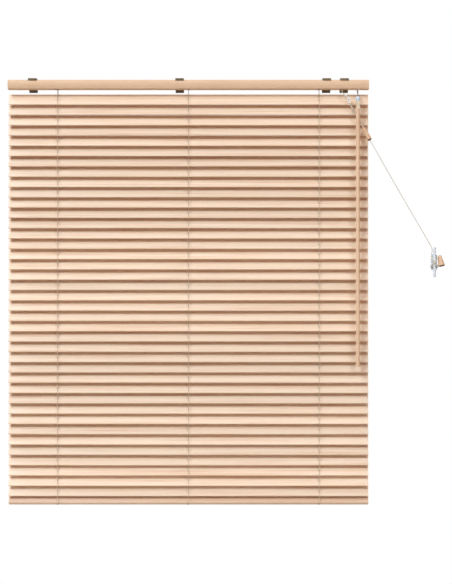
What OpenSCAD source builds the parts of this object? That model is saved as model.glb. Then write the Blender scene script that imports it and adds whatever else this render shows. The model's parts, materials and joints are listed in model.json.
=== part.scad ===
// Venetian blind with flat wooden slats, a steel headrail, a tilt wand and a pull cord on a cleat.
// +X runs along the slats, +Y points to the wall and +Z points up.
// The origin lies in the ceiling plane that the brackets meet, midway along the blind.
// The slats are stored closed, with their front edges down.

/* [Slats] */
// Length of a slat
slat_l = 751; // [740:1:752]
// Width of a slat
slat_w = 25; // [24:0.5:25]
// Thickness of a slat
slat_t = 2.6; // [2:0.1:2.6]
// Number of slats
slat_count = 39; // [20:1:39]
// Distance between slats in the ladders
pitch = 21.5; // [21:0.1:22]
// Angle of the closed slats from the horizontal
closed_angle = 62; // [56:1:62]
// Depth of the first slat's middle under the ceiling plane
first_drop = 43.7; // [43:0.1:46]
// Length of a slat's slot for the lift cord
slot_l = 10; // [10:0.5:15]
// Width of a slat's slot for the lift cord
slot_w = 2; // [2:0.5:5]

/* [Bottom rail] */
// Thickness of the bottom rail
base_t = 10; // [9:0.5:10]
// Drop from the last slat's middle to the bottom rail's middle
base_drop = 14.2; // [14:0.1:16]

/* [Headrail] */
// Length of the headrail with its end caps
rail_l = 753; // [753:1:790]
// Depth of the headrail from front to back
rail_d = 25; // [25:0.5:26]
// Height of the headrail
rail_h = 19; // [19:0.5:20]
// Sheet thickness of the headrail
rail_t = 0.8; // [0.6:0.1:0.8]
// Gap from the ceiling plane to the top of the headrail
top_gap = 3.5; // [3.3:0.1:3.5]

/* [Ladders] */
// Distance from the middle ladder to each outer one
ladder_x = 273; // [250:1:273]
// Diameter of a ladder string
string_d = 1; // [0.8:0.1:1]
// Distance from a slat's middle to the string that holds its edge
string_reach = 15.2; // [15.2:0.1:16]

/* [Tilter] */
// Depth of the tilt rod's axis under the ceiling plane
rod_drop = 10.5; // [10.5:0.1:11]
// Across the corners of the six-sided tilt rod
rod_d = 5.2; // [5:0.1:5.2]
// Number of teeth on the tilter gear
gear_teeth = 10; // [10:1:10]
// Size of a tooth, as the pitch diameter over the number of teeth
gear_module = 0.9; // [0.9:0.1:0.9]
// Position of the wand along the blind
wand_x = 352.6; // [352:0.1:355]
// Distance of the wand's axis in front of the slats' middle
wand_front = 20; // [20:0.1:21]
// Diameter of the wand
wand_d = 8.2; // [8:0.1:8.4]
// Depth of the wand's lower end under the ceiling plane
wand_drop = 601.5; // [400:0.5:800]

/* [Brackets] */
// Width of a bracket
bracket_w = 17.5; // [16:0.5:18]
// Distance of the wall behind the slats' middle
wall_y = 17; // [17:0.5:20]
// Diameter of a bracket's screw holes
screw_d = 4.4; // [4:0.1:4.6]

/* [Cords] */
// Diameter of the lift and pull cords
cord_d = 1.4; // [1.2:0.1:1.4]

/* [Cleat] */
// Position of the cleat along the wall
cleat_x = 515; // [515:1:515]
// Depth of the cleat's middle under the ceiling plane
cleat_drop = 383; // [383:1:383]
// Length of the cleat over both horns
cleat_l = 62.6; // [60:0.1:64]

/* [Hidden] */
$fn = 48;
wood = [0.93, 0.84, 0.73];
paint = [0.88, 0.76, 0.63];
brown = [0.36, 0.30, 0.24];
steel = [0.72, 0.72, 0.70];
cream = [0.93, 0.89, 0.80];
clear = [0.85, 0.91, 0.96];
white = [0.93, 0.93, 0.90];

ladders = [-ladder_x, 0, ladder_x];
bracket_xs = [-325.5, -18.5, 288.5, 325.5];
base_z = -first_drop - pitch * (slat_count - 1) - base_drop;
base_edge_r = 1.5;
plug_hole_r = 4;
plug_depth = 4;
plug_head_r = 6;
plug_head_t = 1.4;

rail_top = -top_gap;
rail_bottom = rail_top - rail_h;
floor_top = rail_bottom + rail_t;
rail_mid = rail_top - rail_h / 2;
lip_w = 3.2;
cap_t = 1.5;
cap_reach = 6;
floor_slot = [7, 17.6];

rod_z = -rod_drop;
rod_ends = [-283, wand_x + 7.4];
hex_play = 0.05;
string_y = string_reach * cos(closed_angle);
drum_r = string_y - string_d / 2 - 0.04;
drum_l = 10;
journal_r = 4;
journal_l = 2.6;
journal_play = 0.08;
cradle_t = 2;
cradle_in = drum_l / 2 + 0.2;
cradle_base_t = 0.8;

// The worm lies behind and below the gear, and its shaft points at the top of the wand.
worm_pitch = PI * gear_module;
worm_r = 2.5;
worm_off = 0.75;
worm_l = 9;
worm_shaft_r = 1.4;
worm_neck_r = 0.9;
mesh_gap = 0.1;
gear_pitch_r = gear_teeth * gear_module / 2;
gear_tip_r = gear_pitch_r + 0.65;
gear_root_r = 3.35;
gear_w = 3;
hub_r = 3.9;
shaft_gap = gear_pitch_r + worm_r + mesh_gap;
eye_z = -36;
eye_r = 2.5;
eye_hole_r = 1.6;
eye_t = 1.2;
bail_w = 6.6;
bail_r = 0.4;
bail_bend = 0.8;
eye_gap_y = wand_front;
eye_gap_z = rod_z - eye_z;
eye_span = sqrt(eye_gap_y * eye_gap_y + eye_gap_z * eye_gap_z);
worm_tilt = atan2(eye_gap_y, eye_gap_z) + asin(shaft_gap / eye_span);
worm_to_eye = sqrt(eye_span * eye_span - shaft_gap * shaft_gap);
worm_mid = [wand_x, shaft_gap * cos(worm_tilt), rod_z - shaft_gap * sin(worm_tilt)];
snout_z = rail_bottom - 1.7;

sleeve_r = 4.7;
sleeve_top = eye_z - eye_r - 0.25;
sleeve_bottom = -63.5;
wand_top = sleeve_top - 10.8;
skirt_r = wand_d / 2 + 0.45;

// The cord lock: the cords run over a fixed pulley, and a loose roller pins them against it.
lock_ends = [305.5, 329.5];
lock_walls = [[-11, -10.1], [-4.7, -3.5]];
pulley = [316.8, -16];
pulley_r = 2.6;
cord_bend_r = 3.65;
lock_exit_x = pulley[0] + cord_bend_r;
roller_r = 2.3;
roller_pin_r = 0.9;
roller = [lock_exit_x + cord_d / 2 + roller_r + 0.1, pulley[1]];
roller_travel = 4;
roller_angle = 60;
lock_y = [-9.2, -5.6, -7.4];
lane_y = [-2.2, 2.2, 0];
lane_z = -19.9;
ramp_r = 4;
ramp_x = 306.1;
drop_r = 2.9;

cleat_z = -cleat_drop;
horn_r = 2.8;
horn_y = 5.3;
neck = [9, 22];
cleat_base = [13, 33, 2.5];
cleat_corner = 3.5;
cleat_screw_gap = 13;
cleat_screw_d = 3.4;

// Routes of the free cords: three strands leave the lock and run through the ring into the bead,
// two of them go on to the joining tassel, and one cord runs from there to the cleat and ends in
// the second tassel.
strand_routes = [
    [[320.4, -9.2, -22.5], [320.4, -9.3, -26.4], [321.3, -10.9, -30.6], [323.6, -12.6, -33.8],
     [326.4, -13.7, -37], [329.2, -14.2, -40.2], [331.2, -14.3, -43.7], [332.9, -14.3, -48],
     [335.1, -14.3, -53.5], [342.2, -14.3, -65.8], [349.5, -14.3, -78.7], [356.6, -14.4, -91.4],
     [360.2, -15.6, -97.9], [364, -17.4, -104.9]],
    [[320.4, -5.6, -22.5], [320.4, -5.7, -26.4], [322.2, -7.3, -30.3], [325.4, -9.8, -33],
     [328.9, -12.2, -35.6], [332, -13.7, -38.4], [334.6, -14.2, -41.3], [336.1, -14.3, -44.9],
     [336.3, -14.3, -49], [337, -14.3, -53.2], [343.8, -14.3, -64.7], [351.1, -14.3, -77.7],
     [358.3, -14.4, -90.5], [361.8, -15.6, -97], [365.6, -17.4, -104]],
    [[320.4, -7.4, -22.5], [320.4, -7.5, -26.4], [321.8, -9, -30.4], [324.4, -11, -33.3],
     [327.5, -12.8, -36.2], [330.4, -13.9, -39.2], [332.4, -14.3, -42.7], [333.6, -14.3, -46.7],
     [335.4, -14.3, -50.8]],
];
hanging_route = [
    [377.9, -17.4, -130], [397.4, -14.7, -163.6], [430.3, -9.4, -219.9], [463.6, -4, -276.4],
    [497, 1.6, -332.3], [504.4, 3, -345.1], [508.9, 4.3, -353.4],
];
// These points are counted from the middle of the cleat.
cleat_route = [
    [-4.9, 5.4, 24], [-5.9, 6.3, 18], [-6.3, 7, 12.5], [-5.7, 5.7, 8.8], [-3.8, 2.3, 5],
    [0.4, 1.3, 0], [3.6, 2.4, -4.4], [5.5, 4.8, -6.2], [6.2, 8.8, -7.2], [5.7, 11.7, -9.2],
    [3.4, 13.2, -11.3], [0.2, 13.4, -12.3], [-3.3, 13.1, -11.1], [-5.5, 12, -8.8],
    [-6.4, 9.4, -6.4], [-6, 5.7, -5], [-3.2, 1.7, -3.8], [0, -0.4, 0], [3, 1, 4],
    [5.3, 4.8, 5.9], [6, 8.2, 7.4], [5.3, 10.5, 9.4], [3, 11.4, 11.6], [0, 11.4, 12.5],
    [-3, 11, 11.6], [-5.5, 10.2, 8.6], [-6.5, 8, 5.2], [-6.5, 4.6, 3.2], [-3.8, 0, 1.2],
    [0, -1.8, -1.4], [3.6, 0, -5.2], [7.1, 4.2, -6.4], [8.1, 7.9, -7.8], [6.8, 10.7, -10.2],
    [3.8, 11.8, -13.6], [0.2, 11.8, -14.9], [-3.9, 11.7, -13.6], [-7.1, 10.5, -9.8],
    [-7.7, 7.4, -7.3], [-6.5, 1.7, -6.8], [-3.3, -1.9, -5.1], [0.2, -3.4, -1.2],
    [3.4, -2.2, 3.4], [6.1, -1, 7.8], [7.9, 0.8, 12.2], [9.8, 3.1, 14.6],
];
pull_route = concat(hanging_route, [for (p = cleat_route) [cleat_x + p[0], p[1], cleat_z + p[2]]]);

ring_mid = [333.8, -14.3, -44.6];
ring_r = 4.1;
ring_hole_r = 1.2;
ring_t = 2.6;
bead_mid = [335.2, -14.3, -52];
bead_r = 2.5;
joiner_top = [364.8, -17.4, -104.4];
joiner_lean = -27;
joiner_l = 28.8;
tassel_top = [525, 3.4, -369.2];
tassel_lean = -12;
tassel_l = 23.5;

function slat_z(i) = -first_drop - pitch * (i - 1);
function slat_name(i) = str("slat_", i < 10 ? "0" : "", i);
function unit(v) = v / norm(v);

// Points on an arc in the XZ plane at depth y.
function arc(y, mid, r, from, to, steps) = [
    for (k = [0 : steps])
        let (a = from + (to - from) * k / steps)
        [mid[0] + r * cos(a), y, mid[1] + r * sin(a)]
];

// Direction of a route at each of its points.
function heading(route, k) = unit(route[min(k + 1, len(route) - 1)] - route[max(k - 1, 0)]);

// Sideways directions that turn with the route as little as they can.
function sideways(route, k, before) =
    let (h = heading(route, k), s = unit(before - (before * h) * h))
    k == len(route) - 1 ? [s] : concat([s], sideways(route, k + 1, s));

// Each ladder string ends where it holds the bottom rail's edge.
string_drop = string_reach * sin(closed_angle);
front_string_z = [rod_z, base_z - string_drop];
back_string_z = [rod_z, base_z + string_drop];

// A lift cord's route from the lock, along the headrail's floor and down to the bottom rail.
function lift_route(k, drop_x) =
    let (y = lock_y[k], lane = lane_y[k])
    concat(
        [[lock_exit_x, y, rail_bottom]],
        arc(y, pulley, cord_bend_r, 0, 135, 5),
        arc(y, [ramp_x, lane_z + ramp_r], ramp_r, 315, 270, 2),
        [[301, y + (lane - y) * 0.05, lane_z], [292, (y + lane) / 2, lane_z],
         [284, lane, lane_z]],
        drop_x == ladder_x ? [] : [[drop_x + 40, lane, lane_z], [drop_x + 24, 0, lane_z]],
        arc(0, [drop_x + drop_r, lane_z - drop_r], drop_r, 90, 180, 3),
        [[drop_x, 0, base_z + cord_d / 2 * tan(closed_angle) + 0.1]]
    );

// A profile drawn as (Y, Z), pulled along X about the middle.
module along_x(length) {
    rotate([90, 0, 90]) linear_extrude(length, center = true) children();
}

module rounded_rect(size, r) {
    square([size[0] - 2 * r, size[1]], center = true);
    square([size[0], size[1] - 2 * r], center = true);
    for (x = [-1, 1], y = [-1, 1])
        translate([x * (size[0] / 2 - r), y * (size[1] / 2 - r)]) circle(r);
}

// A rectangle with round corners.
module plate(width, length, corner) {
    square([width - 2 * corner, length], center = true);
    square([width, length - 2 * corner], center = true);
    for (x = [-1, 1], y = [-1, 1])
        translate([x * (width / 2 - corner), y * (length / 2 - corner)]) circle(corner);
}

// A slot with round ends along its second direction.
module slot(width, length) {
    square([width, length - width], center = true);
    for (y = [-1, 1]) translate([0, y * (length - width) / 2]) circle(width / 2);
}

module x_cylinder(r, length, sides = 48) {
    rotate([0, 90, 0]) cylinder(r = r, h = length, center = true, $fn = sides);
}

module hex_bar(r, length) {
    rotate([0, 90, 0]) cylinder(r = r, h = length, center = true, $fn = 6);
}

// A cord with eight sides along a route.
module cord(route, d) {
    sides = 8;
    start = cross(heading(route, 0), [0, 1, 0]);
    across = sideways(route, 0, norm(start) > 0.1 ? start : [1, 0, 0]);
    points = [
        for (k = [0 : len(route) - 1], a = [0 : sides - 1])
            let (side = across[k], up = cross(heading(route, k), side))
            route[k] + d / 2 * (cos(a * 360 / sides) * side + sin(a * 360 / sides) * up)
    ];
    rings = len(route);
    walls = [
        for (k = [0 : rings - 2], a = [0 : sides - 1])
            let (b = (a + 1) % sides, p = k * sides, q = p + sides)
            each [[p + a, q + a, q + b], [p + a, q + b, p + b]]
    ];
    front = [[for (a = [0 : sides - 1]) a]];
    back = [[for (a = [sides - 1 : -1 : 0]) (rings - 1) * sides + a]];
    polyhedron(points, concat(walls, front, back), convexity = 10);
}

// ---- Slats and bottom rail ----

module slat(i) {
    edge_r = slat_t / 2;
    color(wood)
    translate([0, 0, slat_z(i)])
    rotate([closed_angle, 0, 0])
    difference() {
        along_x(slat_l) {
            square([slat_w - slat_t, slat_t], center = true);
            for (y = [-1, 1]) translate([y * (slat_w / 2 - edge_r), 0]) circle(edge_r);
        }
        for (x = ladders)
            translate([x, 0, -slat_t])
                linear_extrude(2 * slat_t) slot(slot_w, slot_l);
    }
}

// The rail's upper face lies in the plane that the ladders turn.
module bottom_rail() {
    color(wood)
    translate([0, 0, base_z])
    rotate([closed_angle, 0, 0])
    difference() {
        translate([0, 0, -base_t / 2])
            along_x(slat_l) rounded_rect([slat_w, base_t], base_edge_r);
        for (x = ladders)
            translate([x, 0, -base_t - 1]) cylinder(r = plug_hole_r, h = plug_depth + 1);
    }
}

module bottom_plugs() {
    color(brown)
    translate([0, 0, base_z])
    rotate([closed_angle, 0, 0])
    for (x = ladders) {
        translate([x, 0, -base_t - plug_head_t]) cylinder(r = plug_head_r, h = plug_head_t);
        translate([x, 0, -base_t]) cylinder(r = plug_hole_r - 0.05, h = plug_depth - 0.3);
    }
}

// ---- Headrail ----

module headrail() {
    corner = 1.5;
    length = rail_l - 2 * cap_t;
    lock_opening = [[311.5, -9.95], [326.5, -4.8]];
    worm_opening = [[wand_x - 3.4, -9.8], [wand_x + 3.4, 1.6]];
    color(paint)
    difference() {
        translate([0, 0, rail_mid]) along_x(length) difference() {
            rounded_rect([rail_d, rail_h], corner);
            rounded_rect([rail_d - 2 * rail_t, rail_h - 2 * rail_t], corner - rail_t);
            translate([0, rail_h / 2]) square([rail_d - 2 * lip_w, 3], center = true);
        }
        for (x = ladders)
            translate([x, 0, rail_bottom - 1]) linear_extrude(3) square(floor_slot, center = true);
        for (box = [lock_opening, worm_opening])
            translate([box[0][0], box[0][1], rail_bottom - 1])
                cube([box[1][0] - box[0][0], box[1][1] - box[0][1], 3]);
    }
}

module end_caps() {
    play = 0.15;
    plug = [rail_d - 2 * rail_t - 2 * play, rail_h - 2 * rail_t - 2 * play];
    color(paint)
    for (side = [-1, 1]) {
        translate([side * (rail_l - cap_t) / 2, 0, rail_mid])
            along_x(cap_t) rounded_rect([rail_d, rail_h], 1.5);
        translate([side * (rail_l / 2 - cap_t - cap_reach / 2), 0, rail_mid])
            along_x(cap_reach) difference() {
                rounded_rect(plug, 0.6);
                rounded_rect([plug[0] - 2.4, plug[1] - 2.4], 0.6);
            }
    }
}

// One clip of bent steel: it hooks over the headrail's front edge and snaps under its back edge.
module mounting_brackets() {
    plate = 1.5;
    play = 0.2;
    hook_t = 0.8;
    hook_y = -rail_d / 2 - play;
    hook_z = rail_top - 0.8;
    hem_z = rail_top + play;
    lip_y = -rail_d / 2 + lip_w;
    claw_z = rail_top - rail_t - 0.4;
    jaw_z = rail_bottom - play;
    jaw_t = 1.2;
    back = wall_y - plate;
    groove_z = rail_bottom - 3.3;
    tab_z = rail_bottom - 5.3;
    color(brown)
    for (x = bracket_xs)
        translate([x, 0, 0])
        difference() {
            along_x(bracket_w) {
                polygon([
                    [hook_y - hook_t, -1], [hook_y + 1, 0], [wall_y, 0], [wall_y, tab_z],
                    [back, tab_z], [back, groove_z - 0.4], [back + 0.4, groove_z],
                    [back, groove_z + 0.4], [back, jaw_z - jaw_t], [8, jaw_z - jaw_t],
                    [8, jaw_z], [back, jaw_z], [back, -plate], [lip_y + 1.6, -plate],
                    [lip_y + 1.6, claw_z - 1.2], [lip_y - 2, claw_z - 1.2], [lip_y - 2, claw_z],
                    [lip_y + 0.4, claw_z], [lip_y + 0.4, hem_z], [hook_y, hem_z],
                    [hook_y, hook_z], [hook_y - hook_t, hook_z],
                ]);
            }
            translate([0, 0, -3]) cylinder(d = screw_d, h = 6);
            translate([0, wall_y - 3, rail_mid + 1.5]) rotate([-90, 0, 0]) cylinder(d = screw_d, h = 6);
        }
}

// ---- Tilting parts inside the headrail ----

module drum_cradles() {
    reach = 11;
    top = rod_z + journal_r + 1.8;
    floor_play = 0.02;
    base = floor_top + floor_play;
    arch = 5;
    color(white)
    for (x = ladders) translate([x, 0, 0]) {
        difference() {
            union() {
                for (side = [-1, 1])
                    translate([side * (cradle_in + cradle_t / 2), 0, 0])
                        along_x(cradle_t) polygon([
                            [-reach, base], [reach, base], [reach, base + 5],
                            [journal_r + 2.2, top], [-journal_r - 2.2, top], [-reach, base + 5],
                        ]);
                translate([-cradle_in - 0.5, -reach, base])
                    cube([2 * cradle_in + 1, 2 * reach, cradle_base_t]);
            }
            translate([0, 0, rod_z]) x_cylinder(journal_r + journal_play, 30);
            translate([0, 0, base - 1]) linear_extrude(3) square(floor_slot, center = true);
            translate([0, 0, base + cradle_base_t + 1.6])
                cube([40, 2 * arch, 3.2], center = true);
        }
    }
}

module tilt_drums() {
    color(white)
    for (x = ladders) translate([x, 0, rod_z]) difference() {
        union() {
            x_cylinder(drum_r, drum_l);
            x_cylinder(journal_r, drum_l + 2 * journal_l);
        }
        hex_bar(rod_d / 2 + hex_play, drum_l * 3);
    }
}

module tilt_rod() {
    color(steel)
    translate([(rod_ends[0] + rod_ends[1]) / 2, 0, rod_z])
        hex_bar(rod_d / 2, rod_ends[1] - rod_ends[0]);
}

module tilter_gear() {
    root_half = 0.95;
    pitch_half = 0.42;
    tip_half = 0.12;
    color(white)
    translate([wand_x, 0, rod_z]) difference() {
        union() {
            along_x(gear_w) rotate(-worm_tilt) {
                circle(gear_root_r);
                for (k = [0 : gear_teeth - 1]) rotate(k * 360 / gear_teeth)
                    polygon([
                        [gear_root_r - 0.6, -root_half], [gear_pitch_r, -pitch_half],
                        [gear_tip_r, -tip_half], [gear_tip_r, tip_half],
                        [gear_pitch_r, pitch_half], [gear_root_r - 0.6, root_half],
                    ]);
            }
            for (side = [-1, 1])
                translate([side * (gear_w / 2 + 2.6), 0, 0]) x_cylinder(hub_r, 5.2);
        }
        hex_bar(rod_d / 2 + hex_play, 30);
    }
}

// The worm's own frame: its axis is Z and the gear lies towards -Y.
module at_worm() {
    translate(worm_mid) rotate([-worm_tilt, 0, 0]) children();
}

module tilter_worm() {
    turns = worm_l / worm_pitch;
    neck_from = -26;
    color(clear)
    at_worm() {
        linear_extrude(worm_l, center = true, twist = -360 * turns, slices = 36)
            rotate(90 - 180 * turns) translate([worm_off, 0]) circle(worm_r, $fn = 14);
        translate([0, 0, worm_l / 2]) cylinder(r = worm_shaft_r, h = 2.4);
        translate([0, 0, neck_from]) cylinder(r = worm_shaft_r, h = -worm_l / 2 - neck_from);
        translate([0, 0, -worm_to_eye + eye_r - 0.5])
            cylinder(r = worm_neck_r, h = neck_from + worm_to_eye - eye_r + 0.5);
        translate([0, 0, -worm_to_eye]) difference() {
            x_cylinder(eye_r, eye_t);
            x_cylinder(eye_hole_r, 3);
        }
    }
}

module tilter_housing() {
    half = 6.6;
    wall = 2;
    bore = worm_shaft_r + 0.07;
    base = floor_top + 0.02;
    color(white)
    difference() {
        union() {
            for (side = [-1, 1])
                translate([wand_x + side * (half - wall / 2), 0, 0])
                    along_x(wall) polygon([
                        [-11, base], [11, base], [11, -9], [6.4, -5], [-6.4, -5], [-11, -13],
                    ]);
            intersection() {
                at_worm() for (z = [[-7.6, -5], [5, 6.9]])
                    translate([-half + 0.5, -2.4, z[0]]) cube([2 * half - 1, 4.8, z[1] - z[0]]);
                translate([wand_x - half, -12, base]) cube([2 * half, 24, 16]);
            }
            translate([wand_x - half, -11, base]) cube([2 * half, 22, 0.8]);
            translate([wand_x - 3.2, -9.6, snout_z]) cube([6.4, 11, base - snout_z + 0.4]);
        }
        translate([wand_x, 0, rod_z]) x_cylinder(hub_r + journal_play, 30);
        at_worm() cylinder(r = bore, h = 60, center = true);
        at_worm() translate([0, 0, -worm_l / 2 - 0.3]) cylinder(r = 3.7, h = worm_l + 0.6);
    }
}

// ---- Wand ----

// A clear sleeve on top of the wand, with the wire bail that hangs in the worm's eye.
module wand_connector() {
    leg = bail_w / 2;
    flat = leg - bail_bend;
    leg_l = 3.4;
    color(clear)
    translate([wand_x, -wand_front, 0]) {
        rotate_extrude() polygon(concat(
            [[0, sleeve_top]],
            [for (a = [70 : -10 : 0]) [sleeve_r - 2.6 + 2.6 * cos(a), sleeve_top - 2.6 + 2.6 * sin(a)]],
            [[sleeve_r, sleeve_top - 7], [skirt_r - 0.05, sleeve_top - 9.2],
             [skirt_r, sleeve_top - 10.4], [skirt_r, sleeve_bottom],
             [wand_d / 2 + 0.05, sleeve_bottom], [wand_d / 2 + 0.05, wand_top + 0.1],
             [0, wand_top + 0.1]]
        ));
        translate([0, 0, eye_z]) {
            x_cylinder(bail_r, 2 * flat, 24);
            for (side = [0, 180]) rotate([0, 0, side]) {
                translate([flat, 0, -bail_bend]) rotate([90, 0, 0])
                    rotate_extrude(angle = 90) translate([bail_bend, 0]) circle(bail_r, $fn = 24);
                translate([leg, 0, -bail_bend - leg_l]) cylinder(r = bail_r, h = leg_l, $fn = 24);
            }
        }
    }
}

module wand() {
    r = wand_d / 2;
    tip = 2;
    color(wood)
    translate([wand_x, -wand_front, 0])
    rotate_extrude() polygon(concat(
        [[0, wand_top], [r - 0.5, wand_top], [r, wand_top - 0.5]],
        [for (a = [0 : 15 : 90]) [r - tip + tip * cos(a), -wand_drop + tip - tip * sin(a)]],
        [[0, -wand_drop]]
    ));
}

// ---- Cord lock ----

module cord_lock() {
    base = floor_top + 0.02;
    top = -8;
    slot_r = roller_pin_r + 0.12;
    travel = [roller_travel * cos(roller_angle), roller_travel * sin(roller_angle)];
    color(steel)
    difference() {
        union() {
            for (y = lock_walls)
                translate([lock_ends[0], y[0], base])
                    cube([lock_ends[1] - lock_ends[0], y[1] - y[0], top - base]);
            translate([lock_ends[0], lock_walls[0][0], base])
                cube([lock_ends[1] - lock_ends[0], -2 * lock_walls[0][0], 0.8]);
            translate([pulley[0], -10.5, pulley[1]]) rotate([-90, 0, 0]) cylinder(r = pulley_r, h = 6.2);
        }
        translate([311.5, -9.95, base - 1]) cube([15, 5.15, 3]);
        translate([roller[0], 0, roller[1]]) rotate([90, 0, 0]) linear_extrude(14) {
            circle(slot_r);
            translate(travel) circle(slot_r);
            rotate(roller_angle) translate([0, -slot_r]) square([roller_travel, 2 * slot_r]);
        }
    }
}

module cord_lock_roller() {
    grooves = 12;
    color(white)
    translate([roller[0], 0, roller[1]]) rotate([90, 0, 0]) {
        translate([0, 0, 5]) linear_extrude(4.8) difference() {
            circle(roller_r);
            for (k = [0 : grooves - 1]) rotate(k * 360 / grooves)
                translate([roller_r, 0]) circle(0.25, $fn = 16);
        }
        translate([0, 0, 3.6]) cylinder(r = roller_pin_r, h = 7.7);
    }
}

// ---- Strings and cords ----

module strings(y, ends) {
    for (x = ladders)
        translate([x, y, ends[1]]) cylinder(d = string_d, h = ends[0] - ends[1], $fn = 24);
}

module front_ladder_strings() {
    color(cream) strings(-string_y, front_string_z);
}

module back_ladder_strings() {
    color(cream) strings(string_y, back_string_z);
}

module lift_cords() {
    color(cream) for (k = [0 : 2]) cord(lift_route(k, ladders[k]), cord_d);
}

module pull_cords() {
    color(cream) for (route = concat(strand_routes, [pull_route])) cord(route, cord_d);
}

// A turned wooden tassel that hangs from its top, with a round shoulder and a rounded foot.
module tassel(length, top_r, foot_r, hole_r) {
    round = 1.4;
    shoulder = 0.4 * top_r;
    hole_depth = 2.5;
    skirt_l = 5.5;
    rotate_extrude() polygon(concat(
        [[0, 0]],
        [for (a = [90 : -22.5 : 0])
            [top_r - shoulder + shoulder * cos(a), shoulder * sin(a) - shoulder]],
        [[top_r + (foot_r - top_r) * 0.4, -length * 0.45], [foot_r - 0.35, -length + skirt_l]],
        [for (a = [0 : 15 : 90])
            [foot_r - round + round * cos(a), -length + round - round * sin(a)]],
        [[hole_r, -length], [hole_r, -length + hole_depth], [0, -length + hole_depth]]
    ));
}

module cord_fittings() {
    tie_mid = (ring_mid + bead_mid) / 2 + [0.1, 0, -0.8];
    tie_lean = -12;
    tie = [0.8, 3.6];
    color(white) {
        translate(ring_mid) rotate([90, 0, 0]) difference() {
            cylinder(r = ring_r, h = ring_t, center = true);
            cylinder(r = ring_hole_r, h = 2 * ring_t, center = true);
        }
        translate(bead_mid) sphere(bead_r, $fn = 32);
        translate(tie_mid) rotate([0, tie_lean, 0])
            cylinder(r = tie[0], h = tie[1], center = true);
    }
    color(wood) {
        translate(joiner_top) rotate([0, joiner_lean, 0]) tassel(joiner_l, 3.3, 4.7, 2.6);
        translate(tassel_top) rotate([0, tassel_lean, 0]) tassel(tassel_l, 3.9, 6.7, 3);
    }
}

// ---- Cleat ----

module cord_cleat() {
    color(clear)
    translate([cleat_x, 0, cleat_z])
    difference() {
        union() {
            translate([0, wall_y, 0]) rotate([90, 0, 0]) linear_extrude(cleat_base[2])
                plate(cleat_base[0], cleat_base[1], cleat_corner);
            translate([0, wall_y, 0]) rotate([90, 0, 0]) linear_extrude(wall_y - horn_y)
                slot(neck[0], neck[1]);
            translate([0, horn_y, 0]) {
                cylinder(r = horn_r, h = cleat_l - 2 * horn_r, center = true);
                for (z = [-1, 1]) translate([0, 0, z * (cleat_l / 2 - horn_r)]) sphere(horn_r);
            }
        }
        for (z = [-1, 1])
            translate([0, -5, z * cleat_screw_gap / 2]) rotate([-90, 0, 0])
                cylinder(d = cleat_screw_d, h = 30);
    }
}

for (i = [1 : slat_count])
    slat(i);
bottom_rail();
bottom_plugs();
headrail();
end_caps();
mounting_brackets();
drum_cradles();
tilt_drums();
tilt_rod();
tilter_housing();
tilter_gear();
tilter_worm();
wand_connector();
wand();
cord_lock();
cord_lock_roller();
front_ladder_strings();
back_ladder_strings();
lift_cords();
pull_cords();
cord_fittings();
cord_cleat();
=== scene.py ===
import bmesh
import bpy
import json
import math
import random
from mathutils import Matrix, Vector


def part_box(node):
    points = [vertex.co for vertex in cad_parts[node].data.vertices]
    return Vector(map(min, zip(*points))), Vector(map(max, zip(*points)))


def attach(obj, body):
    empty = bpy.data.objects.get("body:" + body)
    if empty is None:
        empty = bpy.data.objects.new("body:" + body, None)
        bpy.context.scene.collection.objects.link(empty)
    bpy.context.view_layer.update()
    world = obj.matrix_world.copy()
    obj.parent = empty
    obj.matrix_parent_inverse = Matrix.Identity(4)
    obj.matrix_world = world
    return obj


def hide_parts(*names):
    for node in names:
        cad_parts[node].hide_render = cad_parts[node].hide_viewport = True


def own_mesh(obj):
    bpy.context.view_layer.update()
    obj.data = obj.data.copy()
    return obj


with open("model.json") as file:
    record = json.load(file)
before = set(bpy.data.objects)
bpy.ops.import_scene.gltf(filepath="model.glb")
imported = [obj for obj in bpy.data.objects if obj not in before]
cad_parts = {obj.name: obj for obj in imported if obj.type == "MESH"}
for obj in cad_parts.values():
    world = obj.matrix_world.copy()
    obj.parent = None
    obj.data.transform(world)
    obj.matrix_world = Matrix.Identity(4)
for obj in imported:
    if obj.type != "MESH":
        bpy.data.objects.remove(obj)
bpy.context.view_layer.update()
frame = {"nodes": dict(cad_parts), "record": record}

# ---- Sizes, in metres and radians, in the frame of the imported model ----

ROOT = "headrail"
CLOSED = math.radians(62)
LADDERS = (-0.273, 0.0, 0.273)
SLATS = sorted(n for n in frame["nodes"] if n.startswith("slat_"))
STRING_D = 0.0009
STRING_REACH = 0.0152
STRING_Y = STRING_REACH * math.cos(CLOSED)
STRING_DROP = STRING_REACH * math.sin(CLOSED)
CORD_D = 0.0014
ROD_Z = -0.0105
RAIL_LOW, RAIL_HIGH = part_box("headrail")
RAIL_BOTTOM = RAIL_LOW.z
RAIL_MID = (RAIL_LOW.z + RAIL_HIGH.z) / 2
RAIL_HALF = (RAIL_HIGH.z - RAIL_LOW.z) / 2
WAND_X = 0.3526
WAND_Y = -0.020
WALL_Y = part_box("cord_cleat")[1].y
CLEAT = Vector((0.515, 0.0, -0.383))
TINY = 1e-7


def axis_height(joint):
    """The height of the axis that a slat or the bottom rail turns about."""
    for made in frame["record"]["behaviour"]["joints"]:
        if made["name"] == joint:
            return made["pos_m"][2]


def middle(node):
    """The height of a slat's axis."""
    return axis_height(node.replace("slat", "slat_tilt"))


FIRST_Z = middle(SLATS[0])
BASE_Z = axis_height("base_tilt")

# ---- Camera ----


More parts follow.
